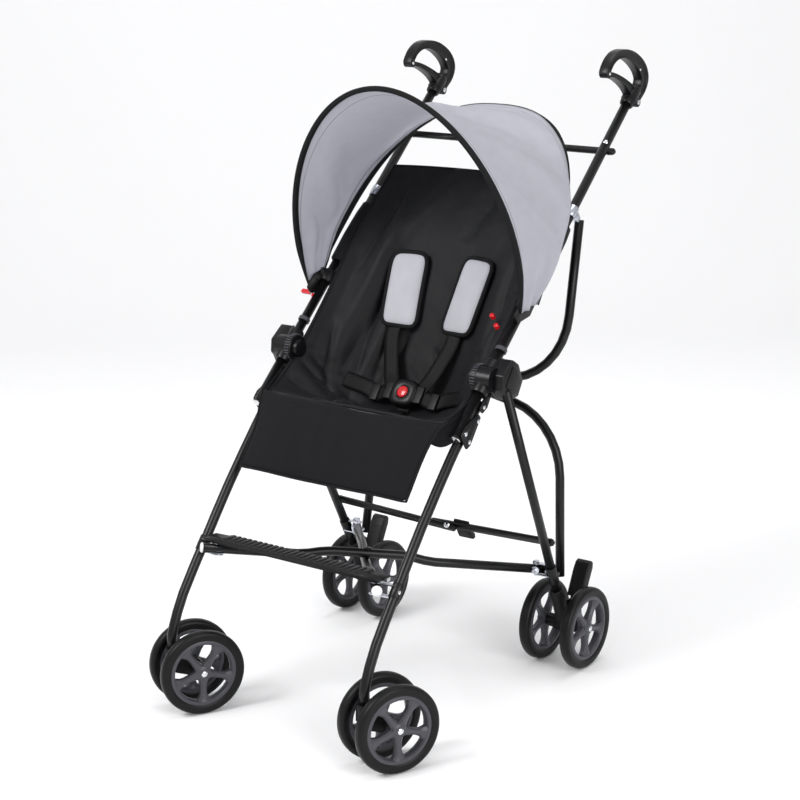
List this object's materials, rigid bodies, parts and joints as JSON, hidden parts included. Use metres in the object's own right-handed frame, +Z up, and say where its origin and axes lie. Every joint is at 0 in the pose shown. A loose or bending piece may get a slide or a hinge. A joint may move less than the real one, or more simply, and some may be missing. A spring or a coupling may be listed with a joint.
{
  "type": "stroller",
  "caption": "Umbrella-fold stroller with sling seat, tilting canopy, crossed folding base and back tubes, swivel front wheel pairs and foot brakes.",
  "frame": {"origin": "on the ground, below the middle of the object's outer box", "axes": "+Z up, the front faces -Y, +X to the viewer's right when looking at the front along +Y"},
  "size_m": [0.5558, 0.8744, 1.0587],
  "materials": {
    "black_paint": "gloss black powder coat on steel tube",
    "black_plastic": "moulded black polypropylene",
    "rim_grey": "moulded dark grey polypropylene",
    "zinc": "bright zinc plate",
    "tyre": "solid foamed rubber",
    "seat_fabric": "black woven polyester, padded",
    "canopy_fabric": "silver grey woven polyester with black binding",
    "webbing": "black polyester webbing",
    "red_plastic": "red acetal"
  },
  "bodies": {
    "seat": {"seat": "seat_fabric", "leg_panel": "seat_fabric", "shoulder_pad_left": "canopy_fabric", "shoulder_pad_right": "canopy_fabric", "harness_webbing": "webbing", "buckle": "black_plastic", "footrest": "black_plastic"},
    "side_left": {"handle_tube_left": "black_paint", "grip_socket_left": "black_plastic", "grip_arch_left": "black_plastic", "hub_left": "black_plastic", "front_leg_left": "black_paint", "rear_leg_left": "black_paint", "rear_foot_left": "black_plastic", "canopy_clip_left": "black_plastic", "top_bracket_left": "zinc", "rear_bracket_left": "zinc", "front_bracket_left": "zinc"},
    "side_right": {"handle_tube_right": "black_paint", "grip_socket_right": "black_plastic", "grip_arch_right": "black_plastic", "hub_right": "black_plastic", "front_leg_right": "black_paint", "rear_leg_right": "black_paint", "rear_foot_right": "black_plastic", "canopy_clip_right": "black_plastic", "top_bracket_right": "zinc", "rear_bracket_right": "zinc", "front_bracket_right": "zinc"},
    "back_tube_left": {"back_tube_left": "black_paint"},
    "back_tube_right": {"back_tube_right": "black_paint"},
    "base_tube_left": {"base_tube_left": "black_paint"},
    "base_tube_right": {"base_tube_right": "black_paint"},
    "upper_bar_left": {"upper_bar_left": "black_paint"},
    "lock_bar_left": {"lock_bar_left": "black_paint"},
    "upper_bar_right": {"upper_bar_right": "black_paint"},
    "lock_bar_right": {"lock_bar_right": "black_paint"},
    "lock_latch": {"lock_latch": "black_plastic"},
    "caster_left": {"caster_fork_left": "black_plastic"},
    "front_wheel_left_inner": {"rim_front_left_inner": "rim_grey", "tyre_front_left_inner": "tyre"},
    "rear_wheel_left_inner": {"rim_rear_left_inner": "rim_grey", "tyre_rear_left_inner": "tyre"},
    "front_wheel_left_outer": {"rim_front_left_outer": "rim_grey", "tyre_front_left_outer": "tyre"},
    "rear_wheel_left_outer": {"rim_rear_left_outer": "rim_grey", "tyre_rear_left_outer": "tyre"},
    "brake_left": {"brake_pedal_left": "black_plastic"},
    "caster_right": {"caster_fork_right": "black_plastic"},
    "front_wheel_right_inner": {"rim_front_right_inner": "rim_grey", "tyre_front_right_inner": "tyre"},
    "rear_wheel_right_inner": {"rim_rear_right_inner": "rim_grey", "tyre_rear_right_inner": "tyre"},
    "front_wheel_right_outer": {"rim_front_right_outer": "rim_grey", "tyre_front_right_outer": "tyre"},
    "rear_wheel_right_outer": {"rim_rear_right_outer": "rim_grey", "tyre_rear_right_outer": "tyre"},
    "brake_right": {"brake_pedal_right": "black_plastic"},
    "canopy": {"canopy": "canopy_fabric"},
    "button": {"buckle_button": "red_plastic"}
  },
  "joints": [
    {"name": "fold", "type": "slide", "parent": "seat", "child": "side_left", "axis": [1, 0, 0], "range_m": [0, 0.1], "deforming": ["canopy", "seat", "leg_panel", "shoulder_pad_left", "shoulder_pad_right", "harness_webbing", "footrest"]},
    {"name": "fold_right", "type": "slide", "parent": "seat", "child": "side_right", "axis": [-1, 0, 0], "range_m": [0, 0.1]},
    {"name": "back_left", "type": "hinge", "parent": "side_left", "child": "back_tube_left", "pos_m": [-0.21986, 0.15281, 0.166], "axis": [-0.3548, -0.923, 0.149], "range_deg": [0, 18.65]},
    {"name": "back_right", "type": "hinge", "parent": "side_right", "child": "back_tube_right", "pos_m": [0.20914, 0.15281, 0.166], "axis": [-0.3548, 0.923, -0.149], "range_deg": [0, 18.65]},
    {"name": "base_left", "type": "hinge", "parent": "seat", "child": "base_tube_left", "pos_m": [-0.00536, -0.12139, 0.23094], "axis": [0, 0.2018, 0.9794], "range_deg": [0, 27.5]},
    {"name": "base_right", "type": "hinge", "parent": "seat", "child": "base_tube_right", "pos_m": [-0.00536, -0.12139, 0.23094], "axis": [0, -0.2018, -0.9794], "range_deg": [0, 27.5]},
    {"name": "upper_bar_left_turn", "type": "hinge", "parent": "side_left", "child": "upper_bar_left", "pos_m": [-0.21186, 0.3012, 0.89585], "axis": [0, -0.6769, 0.7361], "range_deg": [0, 58.95]},
    {"name": "lock_bar_left_turn", "type": "hinge", "parent": "side_left", "child": "lock_bar_left", "pos_m": [-0.23234, 0.08585, 0.2327], "axis": [0, -0.9098, -0.415], "range_deg": [0, 58.51]},
    {"name": "upper_bar_right_turn", "type": "hinge", "parent": "side_right", "child": "upper_bar_right", "pos_m": [0.20114, 0.3012, 0.89585], "axis": [0, 0.6769, -0.7361], "range_deg": [0, 58.95]},
    {"name": "lock_bar_right_turn", "type": "hinge", "parent": "side_right", "child": "lock_bar_right", "pos_m": [0.22162, 0.08585, 0.2327], "axis": [0, 0.9098, 0.415], "range_deg": [0, 58.51]},
    {"name": "latch_turn", "type": "hinge", "parent": "lock_bar_right", "child": "lock_latch", "pos_m": [0.03164, 0.10626, 0.24023], "axis": [1, 0, 0], "range_deg": [0, 40]},
    {"name": "swivel_left", "type": "hinge", "parent": "side_left", "child": "caster_left", "pos_m": [-0.20716, -0.39279, 0.1], "axis": [0, 0, 1], "continuous": true},
    {"name": "spin_front_left_inner", "type": "hinge", "parent": "caster_left", "child": "front_wheel_left_inner", "pos_m": [-0.18727, -0.35705, 0.0725], "axis": [0.8738, -0.4863, 0], "continuous": true},
    {"name": "spin_rear_left_inner", "type": "hinge", "parent": "side_left", "child": "rear_wheel_left_inner", "pos_m": [-0.22566, 0.15891, 0.0725], "axis": [1, 0, 0], "continuous": true},
    {"name": "spin_front_left_outer", "type": "hinge", "parent": "caster_left", "child": "front_wheel_left_outer", "pos_m": [-0.18727, -0.35705, 0.0725], "axis": [0.8738, -0.4863, 0], "continuous": true},
    {"name": "spin_rear_left_outer", "type": "hinge", "parent": "side_left", "child": "rear_wheel_left_outer", "pos_m": [-0.22566, 0.15891, 0.0725], "axis": [1, 0, 0], "continuous": true},
    {"name": "brake_left_press", "type": "hinge", "parent": "side_left", "child": "brake_left", "pos_m": [-0.23136, 0.18161, 0.104], "axis": [1, 0, 0], "range_deg": [-22, 0]},
    {"name": "swivel_right", "type": "hinge", "parent": "side_right", "child": "caster_right", "pos_m": [0.19644, -0.39279, 0.1], "axis": [0, 0, 1], "continuous": true},
    {"name": "spin_front_right_inner", "type": "hinge", "parent": "caster_right", "child": "front_wheel_right_inner", "pos_m": [0.21366, -0.35569, 0.0725], "axis": [0.907, -0.421, 0], "continuous": true},
    {"name": "spin_rear_right_inner", "type": "hinge", "parent": "side_right", "child": "rear_wheel_right_inner", "pos_m": [0.21494, 0.15891, 0.0725], "axis": [1, 0, 0], "continuous": true},
    {"name": "spin_front_right_outer", "type": "hinge", "parent": "caster_right", "child": "front_wheel_right_outer", "pos_m": [0.21366, -0.35569, 0.0725], "axis": [0.907, -0.421, 0], "continuous": true},
    {"name": "spin_rear_right_outer", "type": "hinge", "parent": "side_right", "child": "rear_wheel_right_outer", "pos_m": [0.21494, 0.15891, 0.0725], "axis": [1, 0, 0], "continuous": true},
    {"name": "brake_right_press", "type": "hinge", "parent": "side_right", "child": "brake_right", "pos_m": [0.22064, 0.18161, 0.104], "axis": [1, 0, 0], "range_deg": [-22, 0]},
    {"name": "canopy_tilt", "type": "hinge", "parent": "seat", "child": "canopy", "pos_m": [-0.00536, 0.03511, 0.66], "axis": [1, 0, 0], "range_deg": [-6, 25]},
    {"name": "button_press", "type": "slide", "parent": "seat", "child": "button", "axis": [0, 0.8, -0.6], "range_m": [0, 0.0025], "stiffness_N_per_m": 800}
  ],
  "couplings": [
    {"joint": "fold_right", "follows": "fold", "ratio": 1},
    {"joint": "back_left", "follows": "fold", "rad_per_m": 3.2541},
    {"joint": "back_right", "follows": "fold", "rad_per_m": 3.2541},
    {"joint": "base_left", "follows": "fold", "rad_per_m": 4.7997},
    {"joint": "base_right", "follows": "fold", "rad_per_m": 4.7997},
    {"joint": "upper_bar_left_turn", "follows": "fold", "rad_per_m": 10.289},
    {"joint": "lock_bar_left_turn", "follows": "fold", "rad_per_m": 10.211},
    {"joint": "upper_bar_right_turn", "follows": "fold", "rad_per_m": 10.289},
    {"joint": "lock_bar_right_turn", "follows": "fold", "rad_per_m": 10.211}
  ]
}
